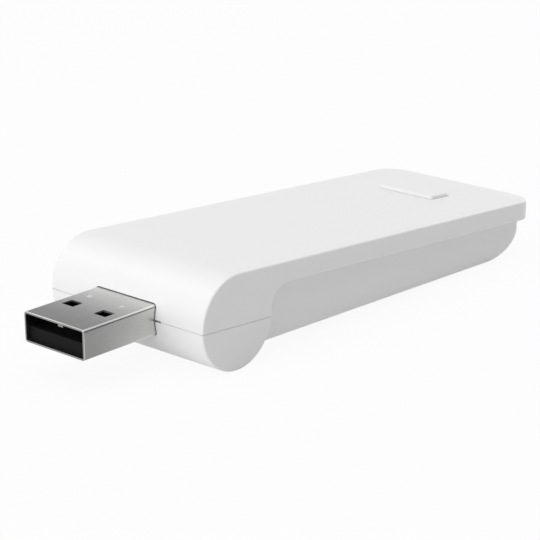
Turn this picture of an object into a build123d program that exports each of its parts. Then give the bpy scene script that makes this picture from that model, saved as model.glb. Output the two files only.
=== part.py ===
from build123d import *
import os
from math import acos, asin, atan, atan2, cos, degrees, hypot, radians, sin, sqrt, tan

os.makedirs("parts", exist_ok=True)

# USB network adapter. Millimetres, +Z up. +X runs from the plug's tip to the tail, and the
# origin is at the bottom centre of the whole adapter, which lies level on barrel and heel.

# Housing
overall_length = 91.3
body_width = 30.5
barrel_diameter = 14.1
deck_thickness = 3.1         # at its open sides, behind the barrel
deck_tail_rise = 1.74        # deck's top at the tail, above the barrel's axis
deck_corner = 4.0            # tail corners, seen from above
tail_overhang = 2.5          # deck past the end of the tub
tub_inset = 1.2              # on each side of the deck
tub_depth = 5.2              # under the barrel's axis
heel_length = 7.6            # quarter oval at the tub's tail corner
heel_height = 4.3
tub_edge = 1.4
edge_round = 0.3
shell_wall = 1.5
tub_wall = 1.4
lip_overlap = 1.15           # tub's rim inside the deck's skirt
lip_clearance = 0.05
groove_half = 0.03           # seam groove, up and down from the seam
groove_depth = 0.15

# Plug
plug_width = 12.0
plug_height = 4.5
plug_length = 18.75
plug_exposed = 13.2
plug_wall = 0.3
plug_corner = 0.5
plug_lip = 0.06
plug_clearance = 0.12
window_near = 5.46           # from the tip
window_length = 1.9
window_width = 2.3
window_offset = 3.225
dimple_near = 8.95
dimple_radius = 0.75
dimple_depth = 0.18
tab_offset = 1.4             # small tab under the top of the mouth, to the right of its middle
tab_width = 1.0
tab_drop = 0.3
tab_length = 0.3
relief_width = 1.1           # wider gap in the seam beside the plug
relief_half = 0.15
tongue_setback = 0.6
tongue_clearance = 0.05
block_start = 11.5
contact_width = 1.0
contact_thickness = 0.2
contact_proud = 0.05
contact_setback = 4.2
contact_foot = 1.2
contact_offsets = {"contact_vbus": -3.5, "contact_dminus": -1.0, "contact_dplus": 1.0, "contact_ground": 3.5}
leg_length = 1.2
leg_inset = 0.3
leg_past_board = 0.3

# Push button and its switch
button_length = 4.8          # along the adapter
button_width = 11.0
button_from_tail = 11.95
button_across = 0.6          # bar and switch stand a little towards +Y
button_proud = 0.5
button_bevel = 0.38
button_dish = 0.1
button_corner = 0.6
button_clearance = 0.05
flange_margin = 0.8
flange_thickness = 0.6
flange_gap = 0.05
stem_diameter = 2.4
switch_length = 3.5
switch_width = 5.2
switch_height = 1.4
plunger_diameter = 1.8
plunger_proud = 0.35
plunger_depth = 0.6
plunger_clearance = 0.06
button_stroke = 0.25

# Circuit board
board_thickness = 1.0
board_gap = 0.3              # to the tub's sides and the barrel's front
board_tail_gap = 2.0
board_corner = 1.0
pin_diameter = 1.5
pin_clearance = 0.1
post_diameter = 3.2
post_root = 0.5              # post sunk into the floor
post_edge = 1.9              # pin centre to the board's side

# Blank label
label_length = 36.0
label_width = 18.0
label_corner = 1.0
label_thickness = 0.1
label_recess = 0.15

# Side view: barrel circle, deck tangent to it, and a tub that falls to the heel.
barrel_radius = barrel_diameter / 2
tip_x = -overall_length / 2
tail_x = overall_length / 2
axis_x = tip_x + plug_exposed + barrel_radius
axis_z = barrel_radius
deck_run = tail_x - axis_x
deck_tilt = asin(barrel_radius / hypot(deck_run, deck_tail_rise)) - atan2(deck_tail_rise, deck_run)
slope = tan(deck_tilt)
deck_normal = (sin(deck_tilt), cos(deck_tilt))


def deck_z(x, depth=0):
    """Height of the deck's top at x, or of a parallel plane that far below it."""
    return axis_z + (barrel_radius - depth) / deck_normal[1] - (x - axis_x) * slope


throat = barrel_radius * (1 - deck_normal[0]) - deck_thickness
throat_radius = throat / (1 + deck_normal[0])
throat_x = axis_x + barrel_radius + throat_radius

tub_end = tail_x - tail_overhang
tub_width = body_width - 2 * tub_inset
heel_x = tub_end - heel_length


def heel_touch(start_z, wall=0):
    """Angle on the heel's oval, inset by a wall, where a line from the axis at start_z touches it."""
    long = heel_length - wall
    tall = heel_height - wall
    run = (axis_x - heel_x) * tall / long
    drop = start_z - heel_height
    return atan2(drop, run) + acos(tall / hypot(run, drop))


touch_angle = heel_touch(axis_z - tub_depth)
touch_x = heel_x + heel_length * cos(touch_angle)
touch_z = heel_height + heel_height * sin(touch_angle)
tub_tilt = atan((axis_z - tub_depth - touch_z) / (touch_x - axis_x))
tub_normal = (-sin(tub_tilt), -cos(tub_tilt))


def floor_z(x, wall=0):
    """Height of the tub's underside at x, or of its floor with that wall."""
    return axis_z - tub_depth - (x - axis_x) * tan(tub_tilt) + wall / cos(tub_tilt)


plug_rear = tip_x + plug_length
board_top = axis_z - plug_height / 2
board_bottom = board_top - board_thickness
bore_radius = barrel_radius - shell_wall
board_drop = axis_z - board_bottom
board_front = axis_x - sqrt(bore_radius**2 - board_drop**2) + board_gap
board_rear = tub_end - tub_wall - board_tail_gap
board_width = tub_width - 2 * (tub_wall + board_gap)
button_x = tail_x - button_from_tail


def finish(piece, name):
    """Label a finished sub-part and write it."""
    piece.part.label = name
    export_step(piece.part, f"parts/{name}.step")


# Space for the tub and the board inside the upper shell, below the deck's inner face.
skirt_x = tub_end + lip_clearance
with BuildPart() as upper_space:
    with BuildSketch(Plane.XZ):
        with BuildLine():
            Polyline(
                (axis_x, axis_z - tub_depth),
                (axis_x, deck_z(axis_x, shell_wall)),
                (skirt_x, deck_z(skirt_x, shell_wall)),
                (skirt_x, axis_z - tub_depth),
                close=True,
            )
        make_face()
    extrude(amount=tub_width / 2 + lip_clearance, both=True)
    fillet(upper_space.edges().filter_by(Axis.Z).group_by(Axis.X)[-1], tub_edge + lip_clearance)
    with BuildSketch(Plane.XZ):
        with Locations((axis_x, axis_z)):
            Circle(bore_radius)
    extrude(amount=body_width / 2 - shell_wall, both=True)

# The seam runs back from the barrel's front, parallel to the deck.
seam_half = barrel_radius * cos(deck_tilt)
seam_rear = (axis_x + barrel_radius * cos(2 * deck_tilt), axis_z - barrel_radius * sin(2 * deck_tilt))
seam_plane = Plane(
    origin=(axis_x - barrel_radius + seam_half * deck_normal[1], 0, axis_z - seam_half * deck_normal[0]),
    x_dir=(deck_normal[1], 0, -deck_normal[0]),
    z_dir=(deck_normal[0], 0, deck_normal[1]),
)

# Groove that runs round the seam, as the space outside an inset outline.
with BuildPart() as seam_groove:
    with BuildSketch(seam_plane.offset(-groove_half)):
        Rectangle(2 * seam_half + 2, body_width + 2)
        Rectangle(2 * (seam_half - groove_depth), body_width - 2 * groove_depth, mode=Mode.SUBTRACT)
        with Locations((seam_half, 0)):
            Rectangle(4 * groove_depth, tub_width, mode=Mode.SUBTRACT)
    extrude(amount=2 * groove_half)

# Mouth for the plug, with the wider slots beside it.
with BuildPart() as plug_mouth:
    bore_front = sqrt(bore_radius**2 - (plug_height / 2 + plug_clearance) ** 2)
    with BuildSketch(Plane.YZ.offset(axis_x - barrel_radius - 1)):
        with Locations((0, axis_z)):
            RectangleRounded(
                plug_width + 2 * plug_clearance,
                plug_height + 2 * plug_clearance,
                plug_corner + plug_clearance,
            )
    extrude(amount=barrel_radius - bore_front + 1.5)
    with Locations((axis_x - barrel_radius, 0, axis_z)):
        Box(2.4 * shell_wall, plug_width + 2 * (plug_clearance + relief_width), 2 * relief_half)

deck_plane = Plane(
    origin=(button_x, button_across, deck_z(button_x)),
    x_dir=(deck_normal[1], 0, -deck_normal[0]),
    z_dir=(deck_normal[0], 0, deck_normal[1]),
)

with BuildPart() as upper_shell:
    with BuildSketch(Plane.XZ):
        with BuildLine():
            crown = (
                axis_x + barrel_radius * deck_normal[0],
                axis_z + barrel_radius * deck_normal[1],
            )
            front_turn = radians(135) - deck_tilt / 2
            front = (axis_x - barrel_radius, axis_z)
            front_middle = (
                axis_x + barrel_radius * cos(front_turn),
                axis_z + barrel_radius * sin(front_turn),
            )
            ThreePointArc(front, front_middle, crown)
            under_start = (
                throat_x + throat_radius * deck_normal[0],
                axis_z + throat_radius * deck_normal[1],
            )
            Polyline(
                crown,
                (tail_x, deck_z(tail_x)),
                (tail_x, deck_z(tail_x, deck_thickness)),
                under_start,
            )
            throat_middle = (
                throat_x + throat_radius * cos(front_turn),
                axis_z + throat_radius * sin(front_turn),
            )
            back = (axis_x + barrel_radius, axis_z)
            ThreePointArc(under_start, throat_middle, back)
            back_middle = (
                axis_x + barrel_radius * cos(deck_tilt),
                axis_z - barrel_radius * sin(deck_tilt),
            )
            ThreePointArc(back, back_middle, seam_rear)
            Line(seam_rear, front)
        make_face()
    extrude(amount=body_width / 2, both=True)
    fillet(upper_shell.edges().filter_by(Axis.Z).group_by(Axis.X)[-1], deck_corner)
    rim = upper_shell.edges().filter_by(lambda e: seam_plane.to_local_coords(e.center()).Z > 0.001)
    rim -= rim.filter_by(Axis.Z)
    crosswise = rim.filter_by(Axis.Y)
    rim = rim - crosswise + crosswise.filter_by(lambda e: e.center().X > tail_x - 0.01)
    fillet(rim, edge_round)
    add(upper_space.part, mode=Mode.SUBTRACT)
    add(plug_mouth.part, mode=Mode.SUBTRACT)
    add(seam_groove.part, mode=Mode.SUBTRACT)
    with BuildSketch(deck_plane):
        RectangleRounded(
            button_length + 2 * button_clearance,
            button_width + 2 * button_clearance,
            button_corner + button_clearance,
        )
    extrude(amount=shell_wall + 1, both=True, mode=Mode.SUBTRACT)
finish(upper_shell, "upper_shell")


with BuildPart() as barrel_half:
    with BuildSketch(Plane.XZ):
        with Locations((axis_x, axis_z)):
            Circle(barrel_radius)
    extrude(amount=body_width / 2, both=True)
    fillet(barrel_half.edges().filter_by(GeomType.CIRCLE), edge_round)
    split(bisect_by=seam_plane, keep=Keep.BOTTOM)

rim_depth = deck_thickness - lip_overlap
rim_start = axis_x + barrel_radius / 2
with BuildPart() as lower_shell:
    with BuildSketch(Plane.XZ):
        with BuildLine():
            Line((axis_x, floor_z(axis_x)), (touch_x, touch_z))
            EllipticalCenterArc(
                (heel_x, heel_height),
                heel_length,
                heel_height,
                start_angle=degrees(touch_angle),
                arc_size=-degrees(touch_angle),
            )
            Polyline(
                (tub_end, heel_height),
                (tub_end, deck_z(tub_end, rim_depth)),
                (rim_start, deck_z(rim_start, rim_depth)),
                (rim_start, axis_z),
                (axis_x, axis_z),
                (axis_x, floor_z(axis_x)),
            )
        make_face()
    extrude(amount=tub_width / 2, both=True)
    side = lower_shell.faces().filter_by(Axis.Y).edges()
    below = side.filter_by(lambda e: e.center().Z < axis_z - 0.001)
    outline = below.filter_by(lambda e: e.center().X > axis_x + 0.001)
    end_line = side.filter_by(Axis.Z).filter_by(lambda e: e.center().X > tub_end - 0.01)
    fillet(outline + (end_line - outline), tub_edge)
    add(barrel_half.part)
    with BuildSketch(Plane.XZ):
        with BuildLine():
            inner_long = heel_length - tub_wall
            inner_tall = heel_height - tub_wall
            inner_angle = heel_touch(floor_z(axis_x, tub_wall), tub_wall)
            inner_touch = (
                heel_x + inner_long * cos(inner_angle),
                heel_height + inner_tall * sin(inner_angle),
            )
            Line((axis_x, floor_z(axis_x, tub_wall)), inner_touch)
            EllipticalCenterArc(
                (heel_x, heel_height),
                inner_long,
                inner_tall,
                start_angle=degrees(inner_angle),
                arc_size=-degrees(inner_angle),
            )
            Polyline(
                (tub_end - tub_wall, heel_height),
                (tub_end - tub_wall, deck_z(axis_x)),
                (axis_x, deck_z(axis_x)),
                (axis_x, floor_z(axis_x, tub_wall)),
            )
        make_face()
    extrude(amount=tub_width / 2 - tub_wall, both=True, mode=Mode.SUBTRACT)
    with BuildSketch(Plane.XZ):
        with Locations((axis_x, axis_z)):
            Circle(bore_radius)
    extrude(amount=body_width / 2 - shell_wall, both=True, mode=Mode.SUBTRACT)
    add(plug_mouth.part, mode=Mode.SUBTRACT)
    add(seam_groove.part, mode=Mode.SUBTRACT)

# Posts and pins that carry the board, and a post under the switch.
pin_x = (board_front + 13.5, board_rear - 15.5)
pin_y = board_width / 2 - post_edge
pin_places = [(x, side * pin_y) for x in pin_x for side in (-1, 1)]
switch_place = (button_x, button_across)
for post_x, post_y in pin_places + [switch_place]:
    with BuildPart() as post:
        foot_z = floor_z(post_x, tub_wall) - post_root
        with BuildSketch(Plane.XY.offset(foot_z)):
            with Locations((post_x, post_y)):
                Circle(post_diameter / 2)
        extrude(amount=board_bottom - foot_z)
        if (post_x, post_y) != switch_place:
            with BuildSketch(Plane.XY.offset(board_bottom)):
                with Locations((post_x, post_y)):
                    Circle(pin_diameter / 2)
            extrude(amount=board_thickness)
    with lower_shell:
        add(post.part)

# Recess for the blank label in the tub's underside.
label_x = (axis_x + barrel_radius + heel_x) / 2
label_plane = Plane(
    origin=(label_x, 0, floor_z(label_x)),
    x_dir=(tub_normal[1], 0, -tub_normal[0]),
    z_dir=(tub_normal[0], 0, tub_normal[1]),
)
with lower_shell:
    with BuildSketch(label_plane):
        RectangleRounded(label_length + 0.3, label_width + 0.3, label_corner + 0.15)
    extrude(amount=-label_recess, mode=Mode.SUBTRACT)
finish(lower_shell, "lower_shell")

with BuildPart() as label:
    with BuildSketch(label_plane.offset(-label_recess)):
        RectangleRounded(label_length, label_width, label_corner)
    extrude(amount=label_thickness)
finish(label, "label")

# Plug shell: drawn tube with a coined lip, four windows, dimples and two solder legs.
with BuildPart() as usb_shell:
    with BuildSketch(Plane.YZ.offset(tip_x)):
        with Locations((0, axis_z)):
            RectangleRounded(plug_width, plug_height, plug_corner)
            RectangleRounded(
                plug_width - 2 * plug_wall,
                plug_height - 2 * plug_wall,
                plug_corner - plug_wall,
                mode=Mode.SUBTRACT,
            )
    extrude(amount=plug_length)
    mouth = usb_shell.faces().sort_by(Axis.X)[0]
    chamfer(mouth.outer_wire().edges(), plug_lip)
    window_x = tip_x + window_near + window_length / 2
    dimple_ball = (dimple_radius**2 + dimple_depth**2) / (2 * dimple_depth)
    dimple_z = axis_z + plug_height / 2 - dimple_depth + dimple_ball
    for side in (-1, 1):
        with Locations((window_x, side * window_offset, axis_z)):
            Box(window_length, window_width, plug_height + 1, mode=Mode.SUBTRACT)
        with Locations((tip_x + dimple_near + dimple_radius, side * window_offset, dimple_z)):
            Sphere(dimple_ball, mode=Mode.SUBTRACT)
    with Locations((tip_x, -tab_offset, axis_z + plug_height / 2 - plug_wall)):
        Box(tab_length, tab_width, tab_drop, align=(Align.MIN, Align.CENTER, Align.MAX))
    leg_x = plug_rear - leg_inset - leg_length / 2
    leg_tip = board_bottom - leg_past_board
    leg_top = axis_z - plug_height / 2 + plug_corner + 0.1
    for side in (-1, 1):
        with Locations((leg_x, side * (plug_width - plug_wall) / 2, leg_tip)):
            Box(
                leg_length,
                plug_wall,
                leg_top - leg_tip,
                align=(Align.CENTER, Align.CENTER, Align.MIN),
            )
finish(usb_shell, "usb_shell")

# Four contacts lie in the tongue and step down to the board behind the plug.
contact_top = axis_z + contact_proud
heel_line = plug_rear + contact_foot / 4
for contact_name, contact_y in contact_offsets.items():
    with BuildPart() as contact:
        with BuildSketch(Plane.XZ.offset(-contact_y)):
            with BuildLine():
                Polyline(
                    (tip_x + contact_setback, contact_top),
                    (heel_line + contact_thickness, contact_top),
                    (heel_line + contact_thickness, board_top + contact_thickness),
                    (heel_line + contact_foot, board_top + contact_thickness),
                    (heel_line + contact_foot, board_top),
                    (heel_line, board_top),
                    (heel_line, contact_top - contact_thickness),
                    (tip_x + contact_setback, contact_top - contact_thickness),
                    close=True,
                )
            make_face()
        extrude(amount=contact_width / 2, both=True)
    finish(contact, contact_name)

with BuildPart() as usb_tongue:
    inner_width = plug_width - 2 * plug_wall - 2 * tongue_clearance
    inner_half = plug_height / 2 - plug_wall
    with Locations((tip_x + tongue_setback, 0, axis_z)):
        Box(
            plug_length - tongue_setback,
            inner_width,
            inner_half,
            align=(Align.MIN, Align.CENTER, Align.MAX),
        )
    with Locations((tip_x + block_start, 0, axis_z)):
        Box(
            plug_length - block_start,
            inner_width,
            2 * inner_half,
            align=(Align.MIN, Align.CENTER, Align.CENTER),
        )
    slot_start = tip_x + contact_setback
    for contact_y in contact_offsets.values():
        with Locations((slot_start, contact_y, contact_top - contact_thickness / 2)):
            Box(
                plug_length,
                contact_width,
                contact_thickness,
                align=(Align.MIN, Align.CENTER, Align.CENTER),
                mode=Mode.SUBTRACT,
            )
    fillet(usb_tongue.edges().filter_by(Axis.X).group_by(Axis.Z)[0], plug_corner - plug_wall)
    fillet(usb_tongue.edges().filter_by(Axis.X).group_by(Axis.Z)[-1], plug_corner - plug_wall)
finish(usb_tongue, "usb_tongue")

# Circuit board with holes for the shell's pins and slots for the plug's legs.
with BuildPart() as circuit_board:
    with BuildSketch(Plane.XY.offset(board_bottom)):
        with Locations(((board_front + board_rear) / 2, 0)):
            RectangleRounded(board_rear - board_front, board_width, board_corner)
        with Locations(*pin_places):
            Circle(pin_diameter / 2 + pin_clearance, mode=Mode.SUBTRACT)
        with Locations(*[(leg_x, side * (plug_width - plug_wall) / 2) for side in (-1, 1)]):
            Rectangle(
                leg_length + 2 * pin_clearance,
                plug_wall + 2 * pin_clearance,
                mode=Mode.SUBTRACT,
            )
    extrude(amount=board_thickness)
finish(circuit_board, "circuit_board")


def board_boxes(name, places, length, width, height, lift=0):
    """Equal box-shaped components on the board, written as one node."""
    with BuildPart() as boxes:
        for x, y in places:
            with Locations((x, y, board_top + lift)):
                Box(length, width, height, align=(Align.CENTER, Align.CENTER, Align.MIN))
    finish(boxes, name)


# Radio section under its shield, then the parts along the rest of the board.
shield_length = 20.0
shield_width = 16.0
shield_height = 1.5
shield_wall = 0.2
shield_x = board_front + 28.0
with BuildPart() as shield_frame:
    with BuildSketch(Plane.XY.offset(board_top)):
        with Locations((shield_x, 0)):
            Rectangle(shield_length, shield_width)
            Rectangle(
                shield_length - 2 * shield_wall,
                shield_width - 2 * shield_wall,
                mode=Mode.SUBTRACT,
            )
    extrude(amount=shield_height)
finish(shield_frame, "shield_frame")

with BuildPart() as shield_lid:
    with Locations((shield_x, 0, board_top + shield_height + shield_wall)):
        Box(
            shield_length + 2 * shield_wall,
            shield_width + 2 * shield_wall,
            shield_height * 0.6 + shield_wall,
            align=(Align.CENTER, Align.CENTER, Align.MAX),
        )
    with Locations((shield_x, 0, board_top + shield_height)):
        Box(
            shield_length,
            shield_width,
            shield_height,
            align=(Align.CENTER, Align.CENTER, Align.MAX),
            mode=Mode.SUBTRACT,
        )
finish(shield_lid, "shield_lid")

board_boxes("radio_chip", [(shield_x - 4, 0)], 8.0, 8.0, 0.85)
board_boxes("amplifier_chips", [(shield_x + 5, side * 4.0) for side in (-1, 1)], 3.0, 3.0, 0.75)
board_boxes("voltage_regulator", [(board_front + 9, -6.0)], 3.0, 1.7, 1.1)
board_boxes("power_inductor", [(board_front + 9, 0)], 3.0, 3.0, 1.4)
board_boxes("crystal", [(shield_x + 14, 5.0)], 3.2, 2.5, 0.7)
board_boxes("memory_chip", [(shield_x + 15, -4.0)], 4.9, 3.9, 1.5)
capacitor_places = [(shield_x - 12, y) for y in (-6, -3, 0, 3, 6)]
board_boxes("ceramic_capacitors", capacitor_places, 1.0, 0.5, 0.5)
resistor_places = [(shield_x + 12, y) for y in (-1, 1, 3)] + [(shield_x + 19, y) for y in (-2, 2)]
board_boxes("resistors", resistor_places, 0.5, 1.0, 0.35)
board_boxes("status_led", [(shield_x + 22, 0)], 0.8, 1.6, 0.6)

with BuildPart() as test_connectors:
    for side in (-1, 1):
        with Locations((shield_x + 17, side * 8.0, board_top)):
            Box(2.6, 2.6, 0.5, align=(Align.CENTER, Align.CENTER, Align.MIN))
            Cylinder(1.0, 1.2, align=(Align.CENTER, Align.CENTER, Align.MIN))
finish(test_connectors, "test_connectors")

# Two bent-sheet antennas stand beside the button.
antenna_length = 11.0
antenna_width = 4.2
antenna_height = 1.9
antenna_sheet = 0.3
antenna_end = board_rear - 2.0
antenna_y = board_width / 2 - 0.8 - antenna_width / 2
for antenna_name, side in (("antenna_left", -1), ("antenna_right", 1)):
    with BuildPart() as antenna:
        with Locations((antenna_end, side * antenna_y, board_top + antenna_height)):
            Box(
                antenna_length,
                antenna_width,
                antenna_sheet,
                align=(Align.MAX, Align.CENTER, Align.MAX),
            )
            Box(
                antenna_sheet,
                antenna_width,
                antenna_height,
                align=(Align.MAX, Align.CENTER, Align.MAX),
            )
        with Locations((antenna_end - 4.0, side * antenna_y, board_top)):
            Box(
                1.0,
                antenna_sheet,
                antenna_height,
                align=(Align.CENTER, Align.CENTER, Align.MIN),
            )
    finish(antenna, antenna_name)

# Heat pad between the board and the sloping floor, under the radio.
pad_length = 14.0
pad_width = 14.0
with BuildPart() as thermal_pad:
    with BuildSketch(Plane.XZ):
        with BuildLine():
            pad_start = shield_x - pad_length / 2
            pad_end = shield_x + pad_length / 2
            Polyline(
                (pad_start, board_bottom),
                (pad_end, board_bottom),
                (pad_end, floor_z(pad_end, tub_wall)),
                (pad_start, floor_z(pad_start, tub_wall)),
                close=True,
            )
        make_face()
    extrude(amount=pad_width / 2, both=True)
finish(thermal_pad, "thermal_pad")

# Push button: its flange is caught under the deck, and its stem stands on the plunger.
switch_top = board_top + switch_height
stack_height = (deck_z(button_x) - switch_top) * deck_normal[1]
plunger_top = plunger_proud - stack_height
flange_top = -shell_wall - flange_gap
flange_bottom = flange_top - flange_thickness
button_side = Plane(origin=deck_plane.origin, x_dir=deck_plane.x_dir, z_dir=(0, -1, 0))
with BuildPart() as button_cap:
    with BuildSketch(button_side):
        with BuildLine():
            half = button_length / 2
            ThreePointArc(
                (half, button_proud),
                (0, button_proud - button_dish),
                (-half, button_proud),
            )
            Polyline((-half, button_proud), (-half, flange_top), (half, flange_top), (half, button_proud))
        make_face()
    extrude(amount=button_width / 2, both=True)
    corners = button_cap.edges().filter_by(lambda e: abs(e.tangent_at(0).dot(deck_plane.z_dir)) > 0.99)
    fillet(corners, button_corner)
    button_top = button_cap.faces().filter_by(GeomType.CYLINDER).sort_by(Axis.Z)[-1]
    chamfer(button_top.edges(), button_bevel)
    with BuildSketch(deck_plane.offset(flange_bottom)):
        RectangleRounded(
            button_length + 2 * flange_margin,
            button_width + 2 * flange_margin,
            button_corner + flange_margin,
        )
    extrude(amount=flange_thickness)
    with BuildSketch(deck_plane.offset(plunger_top)):
        Circle(stem_diameter / 2)
    extrude(amount=flange_bottom - plunger_top)
finish(button_cap, "button_cap")

with BuildPart() as switch_plunger:
    with BuildSketch(deck_plane.offset(-stack_height - plunger_depth)):
        Circle(plunger_diameter / 2)
    extrude(amount=plunger_depth + plunger_proud)
finish(switch_plunger, "switch_plunger")

with BuildPart() as switch_body:
    with Locations((button_x, button_across, board_top)):
        Box(
            switch_length,
            switch_width,
            switch_height,
            align=(Align.CENTER, Align.CENTER, Align.MIN),
        )
    well_depth = plunger_depth + button_stroke + plunger_clearance
    with BuildSketch(deck_plane.offset(-stack_height - well_depth)):
        Circle(plunger_diameter / 2 + plunger_clearance)
    extrude(amount=2 * well_depth, mode=Mode.SUBTRACT)
finish(switch_body, "switch_body")
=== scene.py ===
import bpy
from math import cos, radians, sin
from mathutils import Matrix, Vector


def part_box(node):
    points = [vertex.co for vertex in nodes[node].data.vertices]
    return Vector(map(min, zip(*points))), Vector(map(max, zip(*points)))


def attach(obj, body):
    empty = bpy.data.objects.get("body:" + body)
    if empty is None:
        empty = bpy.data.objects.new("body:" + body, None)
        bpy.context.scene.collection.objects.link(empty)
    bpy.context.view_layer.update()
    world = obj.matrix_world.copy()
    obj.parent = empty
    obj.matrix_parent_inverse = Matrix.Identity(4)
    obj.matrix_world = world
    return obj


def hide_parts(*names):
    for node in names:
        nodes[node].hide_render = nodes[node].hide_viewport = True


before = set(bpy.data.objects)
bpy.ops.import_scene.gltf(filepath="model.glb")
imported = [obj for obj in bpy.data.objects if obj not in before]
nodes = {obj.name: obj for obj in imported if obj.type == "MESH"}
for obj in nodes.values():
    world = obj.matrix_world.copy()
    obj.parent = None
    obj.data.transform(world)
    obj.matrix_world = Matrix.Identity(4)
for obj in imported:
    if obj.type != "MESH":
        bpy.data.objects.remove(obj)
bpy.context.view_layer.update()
mm = 0.001
noiseSpan = (0.3, 0.7)  # where nearly all of a noise's values lie


# A colour's hex text is sRGB, and the shaders want it linear.
def hexToLinear(text):
    values = [int(text[i:i + 2], 16) / 255 for i in (1, 3, 5)]
    return tuple(v / 12.92 if v <= 0.04045 else ((v + 0.055) / 1.055) ** 2.4 for v in values) + (1.0,)


# Each input takes a value, or a link from another node's output.
def addNode(tree, kind, inputs={}, **settings):
    node = tree.nodes.new("ShaderNode" + kind)
    for name, value in settings.items():
        setattr(node, name, value)
    for socket, value in inputs.items():
        if isinstance(value, bpy.types.NodeSocket):
            tree.links.new(value, node.inputs[socket])
        else:
            node.inputs[socket].default_value = value
    return node


def newMaterial(name):
    material = bpy.data.materials.new(name)
    material.use_nodes = True
    material.node_tree.nodes.clear()
    return material, material.node_tree


def perMetre(sizeMm):
    return 1 / (sizeMm * mm)


# ABS, injection moulded in white: satin, with the fine spark-eroded grain of the mould and
# a slow drift in sheen where the melt flowed. The mould's own grain is finer, and is drawn this
# coarse so that it shows. Painted shade greys the inner corners and seams a little.
absFinish = {
    "colour": "#EFEFEF", "roughness": (0.37, 0.44), "refraction": 1.53,
    "grainMm": 0.16, "grainDepthMm": 0.004, "grainStrength": 0.35,
    "flowMm": 14, "flowTone": (0.985, 1.0),
    "nookMm": 0.9, "nookOpenness": (0.4, 0.9), "nookTone": (0.87, 1.0),
}


def mouldedAbs(name, finish):
    material, tree = newMaterial(name)
    place = addNode(tree, "TexCoord").outputs["Object"]
    grain = addNode(tree, "TexNoise", {"Vector": place, "Scale": perMetre(finish["grainMm"]),
                                       "Detail": 3, "Roughness": 0.6})
    flow = addNode(tree, "TexNoise", {"Vector": place, "Scale": perMetre(finish["flowMm"]), "Detail": 2})
    flowSpan = {"Value": flow.outputs[0], "From Min": noiseSpan[0], "From Max": noiseSpan[1]}
    sheen = addNode(tree, "MapRange", {**flowSpan, "To Min": finish["roughness"][0],
                                       "To Max": finish["roughness"][1]})
    tone = addNode(tree, "MapRange", {**flowSpan, "To Min": finish["flowTone"][0],
                                      "To Max": finish["flowTone"][1]})
    colour = addNode(tree, "Mix", {"Factor": 1.0, "A": hexToLinear(finish["colour"]), "B": tone.outputs[0]},
                     data_type="RGBA", blend_type="MULTIPLY")
    # Painted shade: an occlusion lookup greys the inner corners and seams.
    nook = addNode(tree, "AmbientOcclusion", {"Distance": finish["nookMm"] * mm}, samples=8)
    nookShade = addNode(tree, "MapRange", {
        "Value": nook.outputs["AO"],
        "From Min": finish["nookOpenness"][0], "From Max": finish["nookOpenness"][1],
        "To Min": finish["nookTone"][0], "To Max": finish["nookTone"][1]})
    nookShadedColour = addNode(tree, "Mix", {"Factor": 1.0, "A": colour.outputs["Result"], "B": nookShade.outputs[0]},
                     data_type="RGBA", blend_type="MULTIPLY")
    bump = addNode(tree, "Bump", {"Height": grain.outputs[0], "Strength": finish["grainStrength"],
                                  "Distance": finish["grainDepthMm"] * mm})
    shader = addNode(tree, "BsdfPrincipled", {
        "Base Color": nookShadedColour.outputs["Result"], "Roughness": sheen.outputs[0],
        "Normal": bump.outputs[0], "IOR": finish["refraction"]})
    addNode(tree, "OutputMaterial", {"Surface": shader.outputs[0]})
    return material


# Nickel-plated steel, drawn along the plug: soft streaks along X and a cloudy sheen. The draw
# lines are finer in the real sheet, and are drawn this coarse so that they show. Its tone also
# carries painted reflections: darker towards the tip, a painted highlight on the bends, a painted
# dark line under the upper bends and a painted bright rim at the mouth.
steelFinish = {
    "colour": "#C8C8C7", "roughness": (0.27, 0.41), "metallic": 1.0,
    "streakMm": (12.0, 0.5, 0.5), "streakShare": 0.5, "streakDepthMm": 0.0008, "streakStrength": 0.25,
    "cloudMm": 3.5, "cloudSpan": (0.5, 1.0), "cloudTone": (0.93, 1.04),
    "reflectionFadeMm": 13.0, "reflectionFadeCurve": 1.9,
    "tipSideTone": 0.50, "tipTopTone": 0.30, "rootSideTone": 1.25, "rootTopTone": 1.0,
    "bendFacing": (0.74, 0.86), "bendHighlightTone": 1.1,
    "bendMm": 0.32, "bendLineMm": 0.07, "bendTone": 0.3,
    "cutEdgeMm": 0.04, "cutEdgeTone": 0.5,
}


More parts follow.
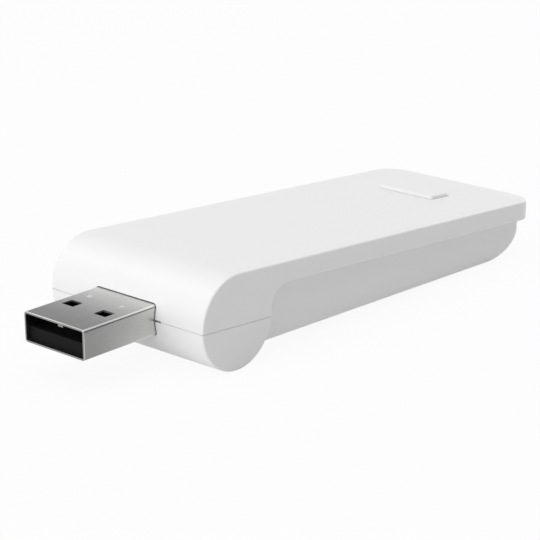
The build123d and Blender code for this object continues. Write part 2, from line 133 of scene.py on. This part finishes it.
def drawnSteel(name, finish, plugBox):
    material, tree = newMaterial(name)
    coordinates = addNode(tree, "TexCoord")
    place = coordinates.outputs["Object"]
    along = addNode(tree, "SeparateXYZ", {"Vector": place})
    facing = addNode(tree, "SeparateXYZ", {"Vector": coordinates.outputs["Normal"]})
    ahead, aside, upward = [
        addNode(tree, "Math", {0: facing.outputs[axis]}, operation="ABSOLUTE").outputs[0] for axis in "XYZ"]
    stretch = addNode(tree, "Mapping", {"Vector": place,
                                        "Scale": [perMetre(size) for size in finish["streakMm"]]})
    streak = addNode(tree, "TexNoise", {"Vector": stretch.outputs[0], "Scale": 1.0,
                                        "Detail": 4, "Roughness": 0.6})
    patches = addNode(tree, "TexNoise", {"Vector": place, "Scale": perMetre(finish["cloudMm"]), "Detail": 3})
    cloud = addNode(tree, "Math", {0: streak.outputs[0], 1: finish["streakShare"], 2: patches.outputs[0]},
                    operation="MULTIPLY_ADD")
    cloudSpan = {"Value": cloud.outputs[0], "From Min": finish["cloudSpan"][0],
                 "From Max": finish["cloudSpan"][1]}
    sheen = addNode(tree, "MapRange", {**cloudSpan, "To Min": finish["roughness"][0],
                                       "To Max": finish["roughness"][1]})
    tone = addNode(tree, "MapRange", {**cloudSpan, "To Min": finish["cloudTone"][0],
                                      "To Max": finish["cloudTone"][1]})
    # Painted reflection: darker towards the tip, the top more than the sides, and brighter than the metal's
    # own colour on the sides at the root.
    tipTone = addNode(tree, "MapRange", {"Value": upward, "To Min": finish["tipSideTone"],
                                         "To Max": finish["tipTopTone"]})
    rootTone = addNode(tree, "MapRange", {"Value": upward, "To Min": finish["rootSideTone"],
                                          "To Max": finish["rootTopTone"]})
    reach = addNode(tree, "MapRange", {"Value": along.outputs["X"], "From Min": plugBox[0].x,
                                       "From Max": plugBox[0].x + finish["reflectionFadeMm"] * mm})
    curve = addNode(tree, "Math", {0: reach.outputs[0], 1: finish["reflectionFadeCurve"]}, operation="POWER")
    paintedReflection = addNode(tree, "MapRange", {"Value": curve.outputs[0], "To Min": tipTone.outputs[0],
                                        "To Max": rootTone.outputs[0]})
    # Painted highlight: the middle of each bend faces no way squarely, and is painted bright.
    flank = addNode(tree, "Math", {0: upward, 1: aside}, operation="MAXIMUM")
    squarely = addNode(tree, "Math", {0: flank.outputs[0], 1: ahead}, operation="MAXIMUM")
    bendHighlight = addNode(tree, "MapRange", {
        "Value": squarely.outputs[0], "From Min": finish["bendFacing"][0],
        "From Max": finish["bendFacing"][1], "To Min": 1.0, "To Max": 0.0})
    highlighted = addNode(tree, "Mix", {"Factor": bendHighlight.outputs[0], "A": paintedReflection.outputs[0],
                                      "B": finish["bendHighlightTone"]})
    # Painted dark reflection: a thin dark line where each upper bend runs out into the side.
    bend = addNode(tree, "Math", {0: along.outputs["Z"], 1: plugBox[1].z - finish["bendMm"] * mm,
                                  2: finish["bendLineMm"] * mm}, operation="COMPARE")
    paintedDarkLine = addNode(tree, "MapRange", {"Value": bend.outputs[0], "To Min": 1.0, "To Max": finish["bendTone"]})
    darkLined = addNode(tree, "Math", {0: highlighted.outputs["Result"], 1: paintedDarkLine.outputs[0]}, operation="MULTIPLY")
    # Painted highlight: the sheet's cut edge round the mouth is held at cutEdgeTone at least, clear of the
    # painted darkening.
    cut = addNode(tree, "Math", {0: along.outputs["X"], 1: plugBox[0].x, 2: finish["cutEdgeMm"] * mm},
                  operation="COMPARE")
    bright = addNode(tree, "Math", {0: cut.outputs[0], 1: finish["cutEdgeTone"]}, operation="MULTIPLY")
    paintedTone = addNode(tree, "Math", {0: darkLined.outputs[0], 1: bright.outputs[0]}, operation="MAXIMUM")
    shade = addNode(tree, "Math", {0: tone.outputs[0], 1: paintedTone.outputs[0]}, operation="MULTIPLY")
    colour = addNode(tree, "Mix", {"Factor": 1.0, "A": hexToLinear(finish["colour"]), "B": shade.outputs[0]},
                     data_type="RGBA", blend_type="MULTIPLY")
    bump = addNode(tree, "Bump", {"Height": streak.outputs[0], "Strength": finish["streakStrength"],
                                  "Distance": finish["streakDepthMm"] * mm})
    shader = addNode(tree, "BsdfPrincipled", {
        "Base Color": colour.outputs["Result"], "Roughness": sheen.outputs[0],
        "Normal": bump.outputs[0], "Metallic": finish["metallic"]})
    addNode(tree, "OutputMaterial", {"Surface": shader.outputs[0]})
    return material


# Plain moulded, printed or plated stuff: one colour with a fine grain in it, and one roughness.
plainFinish = {"grainMm": 0.2, "grainTone": (0.88, 1.06), "grainStrength": 0.2, "grainDepthMm": 0.01,
               "metallic": 0.0, "specular": 0.5}
plainFinishes = {
    # Filled nylon: matt, and drawn blacker than the nylon itself, so that it also stands in for the shade in
    # the plug's mouth.
    "mouldedBlackInsulator": {"colour": "#060608", "roughness": 0.7, "specular": 0.15},
    # Lacquer printed on glass fibre: smooth and half glossy.
    "solderMaskGreen": {"colour": "#1F5A33", "roughness": 0.35},
    # Polyester film with a silver print: pale and satin.
    "blankSilverFilm": {"colour": "#D2D2D0", "roughness": 0.38, "grainMm": 0.5},
    # Stamped brass with a gold flash: warm and smooth.
    "goldPlatedBrass": {"colour": "#C8A04A", "roughness": 0.25, "grainMm": 0.4, "metallic": 1.0},
    # Stamped sheet with a tin coat: grey and a little cloudy.
    "tinPlatedSheet": {"colour": "#B4B4B0", "roughness": 0.35, "grainMm": 0.8, "metallic": 1.0},
    # Pressed epoxy: nearly black and dull.
    "mouldedEpoxy": {"colour": "#1E1E1E", "roughness": 0.6},
}


def plainMaterial(name, finish):
    material, tree = newMaterial(name)
    place = addNode(tree, "TexCoord").outputs["Object"]
    grain = addNode(tree, "TexNoise", {"Vector": place, "Scale": perMetre(finish["grainMm"]), "Detail": 3})
    tone = addNode(tree, "MapRange", {
        "Value": grain.outputs[0], "From Min": noiseSpan[0], "From Max": noiseSpan[1],
        "To Min": finish["grainTone"][0], "To Max": finish["grainTone"][1]})
    colour = addNode(tree, "Mix", {"Factor": 1.0, "A": hexToLinear(finish["colour"]), "B": tone.outputs[0]},
                     data_type="RGBA", blend_type="MULTIPLY")
    bump = addNode(tree, "Bump", {"Height": grain.outputs[0], "Strength": finish["grainStrength"],
                                  "Distance": finish["grainDepthMm"] * mm})
    shader = addNode(tree, "BsdfPrincipled", {
        "Base Color": colour.outputs["Result"], "Roughness": finish["roughness"],
        "Normal": bump.outputs[0], "Metallic": finish["metallic"],
        "Specular IOR Level": finish["specular"]})
    addNode(tree, "OutputMaterial", {"Surface": shader.outputs[0]})
    return material


materials = {
    "mouldedWhiteAbs": mouldedAbs("mouldedWhiteAbs", absFinish),
    "drawnNickelSteel": drawnSteel("drawnNickelSteel", steelFinish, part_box("usb_shell")),
}
for name, finish in plainFinishes.items():
    materials[name] = plainMaterial(name, {**plainFinish, **finish})

# A node takes the look under its name or the start of its name. All others look like epoxy.
lookOf = {
    "upper_shell": "mouldedWhiteAbs",
    "lower_shell": "mouldedWhiteAbs",
    "button_cap": "mouldedWhiteAbs",
    "usb_shell": "drawnNickelSteel",
    "usb_tongue": "mouldedBlackInsulator",
    "circuit_board": "solderMaskGreen",
    "label": "blankSilverFilm",
    "contact_": "goldPlatedBrass",
    "shield_": "tinPlatedSheet",
    "antenna_": "tinPlatedSheet",
    "crystal": "tinPlatedSheet",
}
for name, node in nodes.items():
    look = next((look for start, look in lookOf.items() if name.startswith(start)), "mouldedEpoxy")
    node.data.materials.clear()
    node.data.materials.append(materials[look])
print("stage: materials done")

# Where the barrel lies: its front is the upper shell's lowest X, and it stands on the floor.
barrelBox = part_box("upper_shell")
barrelRadius = (barrelBox[1].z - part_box("lower_shell")[0].z) / 2
barrelAxis = Vector((barrelBox[0].x + barrelRadius, 0, barrelRadius))

# Long thin triangles shade true: a flat side takes its own normal, the barrel its radius. A side is
# flat where the faces that look the same way add up to more than flatMm2. A corner normal that
# strays far from its face goes back to it.
shading = {"wayDigits": 3, "nearMm": 0.02, "endFacing": 0.1, "strayDegrees": 40}


def settleNormals(mesh, flatMm2):
    def wayOf(face):
        return tuple(round(value, shading["wayDigits"]) for value in face.normal)

    normals = [Vector(corner.vector) for corner in mesh.corner_normals]
    areaOf = {}
    for face in mesh.polygons:
        areaOf[wayOf(face)] = areaOf.get(wayOf(face), 0) + face.area
    for face in mesh.polygons:
        points = [mesh.vertices[i].co for i in face.vertices]
        spokes = [Vector((p.x - barrelAxis.x, 0, p.z - barrelAxis.z)) for p in points]
        onBarrel = all(abs(spoke.length - barrelRadius) < shading["nearMm"] * mm for spoke in spokes)
        onEnd = abs(face.normal.y) >= shading["endFacing"]
        isFlat = areaOf[wayOf(face)] > flatMm2 * mm * mm
        for loop, spoke in zip(face.loop_indices, spokes):
            strays = normals[loop].dot(face.normal) < cos(radians(shading["strayDegrees"]))
            if onBarrel and not onEnd:
                normals[loop] = spoke.normalized()
            elif isFlat or strays:
                normals[loop] = face.normal.copy()
    mesh.normals_split_custom_set(normals)


# A merged copy of a CAD node shades smoothly over its round faces.
mergeMm = 0.0005
pieces = {
    "upper_shell": {"body": "adapter", "slot": "shell_upper", "smoothDegrees": 28, "flatMm2": 40},
    "lower_shell": {"body": "adapter", "slot": "shell_lower", "smoothDegrees": 28, "flatMm2": 40},
    "usb_shell": {"body": "adapter", "slot": "plug_steel", "smoothDegrees": 14, "flatMm2": 5},
    "button_cap": {"body": "button", "slot": "shell_button", "smoothDegrees": 28, "flatMm2": 1.5},
}
for name, values in pieces.items():
    piece = nodes[name].copy()
    piece.data = nodes[name].data.copy()
    piece.name = name + "_finish"
    piece.parent = None
    for key in list(piece.keys()):
        del piece[key]
    bpy.context.scene.collection.objects.link(piece)
    bpy.ops.object.select_all(action="DESELECT")
    piece.select_set(True)
    bpy.context.view_layer.objects.active = piece
    bpy.ops.object.mode_set(mode="EDIT")
    bpy.ops.mesh.select_all(action="SELECT")
    bpy.ops.mesh.remove_doubles(threshold=mergeMm * mm)
    bpy.ops.object.mode_set(mode="OBJECT")
    bpy.ops.object.shade_smooth_by_angle(angle=radians(values["smoothDegrees"]))
    piece.modifiers.new("faceWeighting", "WEIGHTED_NORMAL").keep_sharp = True
    bpy.ops.object.modifier_apply(modifier="faceWeighting")
    settleNormals(piece.data, values["flatMm2"])
    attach(piece, values["body"])
    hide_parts(name)
print("stage: shells done")

# Floor and sky. The camera, metal and glass see the floor as nearly white and the sky as white.
studio = {"floorSize": 3.0, "floorColour": "#EAEAEA", "floorGlow": 0.93,
          "skyColour": "#FFFFFF", "skyStrength": (0.42, 1.0)}


def seenRays(tree):
    rays = addNode(tree, "LightPath").outputs
    shiny = addNode(tree, "Math", {0: rays["Is Glossy Ray"], 1: rays["Is Transmission Ray"]},
                    operation="MAXIMUM")
    seen = addNode(tree, "Math", {0: rays["Is Camera Ray"], 1: shiny.outputs[0]}, operation="MAXIMUM")
    return seen.outputs[0]


bpy.ops.object.select_all(action="DESELECT")
bpy.ops.mesh.primitive_plane_add(size=studio["floorSize"])
floor = bpy.context.object
floor.name = "studioFloor"
floorMaterial, floorTree = newMaterial("paleFloor")
paint = addNode(floorTree, "BsdfDiffuse", {"Color": hexToLinear(studio["floorColour"])})
glow = addNode(floorTree, "Emission", {"Color": hexToLinear(studio["skyColour"]), "Strength": 1.0})
share = addNode(floorTree, "Math", {0: seenRays(floorTree), 1: studio["floorGlow"]}, operation="MULTIPLY")
blend = addNode(floorTree, "MixShader", {0: share.outputs[0], 1: paint.outputs[0], 2: glow.outputs[0]})
addNode(floorTree, "OutputMaterial", {"Surface": blend.outputs[0]})
floor.data.materials.append(floorMaterial)

world = bpy.data.worlds.new("studioWorld")
bpy.context.scene.world = world
world.use_nodes = True
skyTree = world.node_tree
skyTree.nodes.clear()
strength = addNode(skyTree, "MapRange", {"Value": seenRays(skyTree), "To Min": studio["skyStrength"][0],
                                         "To Max": studio["skyStrength"][1]})
sky = addNode(skyTree, "Background", {"Color": hexToLinear(studio["skyColour"]),
                                      "Strength": strength.outputs[0]})
addNode(skyTree, "OutputWorld", {"Surface": sky.outputs[0]})

# Square lamps, in metres, each aimed at the floor under the middle of the part.
lampSetup = {
    "overhead": {"at": (0.02, 0.0, 0.45), "size": 0.5, "watts": 0.78},
    "front": {"at": (-0.42, 0.06, 0.16), "size": 0.35, "watts": 0.93},
    "back": {"at": (0.44, 0.02, 0.10), "size": 0.3, "watts": 0.45},
    "kicker": {"at": (-0.14, 0.29, 0.32), "size": 0.14, "watts": 0.13},
}
for name, lamp in lampSetup.items():
    light = bpy.data.lights.new(name, "AREA")
    light.size = lamp["size"]
    light.energy = lamp["watts"]
    holder = bpy.data.objects.new(name, light)
    bpy.context.scene.collection.objects.link(holder)
    holder.location = lamp["at"]
    holder.rotation_euler = (-Vector(lamp["at"])).to_track_quat("-Z", "Y").to_euler()

# The camera stands distanceMm back from a point that lies aimMm off the barrel's middle.
cameraSetup = {"azimuth": -47.911, "elevation": 18.523, "roll": -0.473, "distanceMm": 293.84,
               "aimMm": (20.108, -4.149, 0.068), "lens": 132, "shiftX": -0.0111, "clipStart": 0.01}
turn, tilt, roll = [radians(cameraSetup[angle]) for angle in ("azimuth", "elevation", "roll")]
back = Vector((sin(turn) * cos(tilt), -cos(turn) * cos(tilt), sin(tilt)))
level = Vector((cos(turn), sin(turn), 0))
upright = back.cross(level)
right = level * cos(roll) + upright * sin(roll)
up = upright * cos(roll) - level * sin(roll)
aim = barrelAxis + Vector(cameraSetup["aimMm"]) * mm
stand = Matrix.Translation(aim + back * cameraSetup["distanceMm"] * mm)
lens = bpy.data.cameras.new("studioCamera")
lens.lens = cameraSetup["lens"]
lens.shift_x = cameraSetup["shiftX"]
lens.clip_start = cameraSetup["clipStart"]
camera = bpy.data.objects.new("studioCamera", lens)
bpy.context.scene.collection.objects.link(camera)
camera.matrix_world = stand @ Matrix((right, up, back)).transposed().to_4x4()
bpy.context.scene.camera = camera
bpy.context.scene.view_settings.view_transform = "Standard"
print("stage: studio done")
